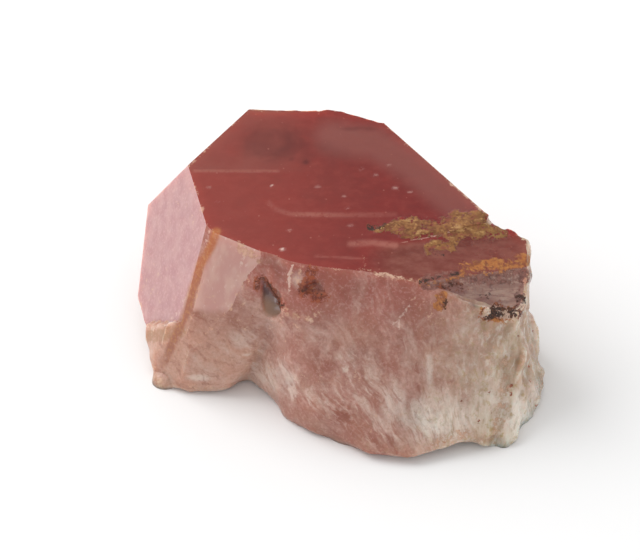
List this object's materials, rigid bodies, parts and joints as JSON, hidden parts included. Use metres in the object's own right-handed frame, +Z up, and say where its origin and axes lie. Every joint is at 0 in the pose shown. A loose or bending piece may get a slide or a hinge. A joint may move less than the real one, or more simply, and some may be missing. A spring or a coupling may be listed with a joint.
{
  "type": "raw lithium quartz crystal",
  "caption": "Stubby raw quartz crystal with a broad flat dark red crown face, paler side faces, a rust-lined edge and a rough broken front that clears toward one end.",
  "frame": {"origin": "centre of the footprint's bounding box, on the surface that the crystal rests on", "axes": "+X toward the clear right end, +Y away from the broken front, +Z up out of the surface"},
  "size_m": [0.0527, 0.0447, 0.025],
  "materials": {
    "lithium_quartz": "semi-gloss growth faces, satin broken faces, translucent"
  },
  "bodies": {
    "root": {"quartz_crystal": "lithium_quartz"}
  },
  "joints": []
}
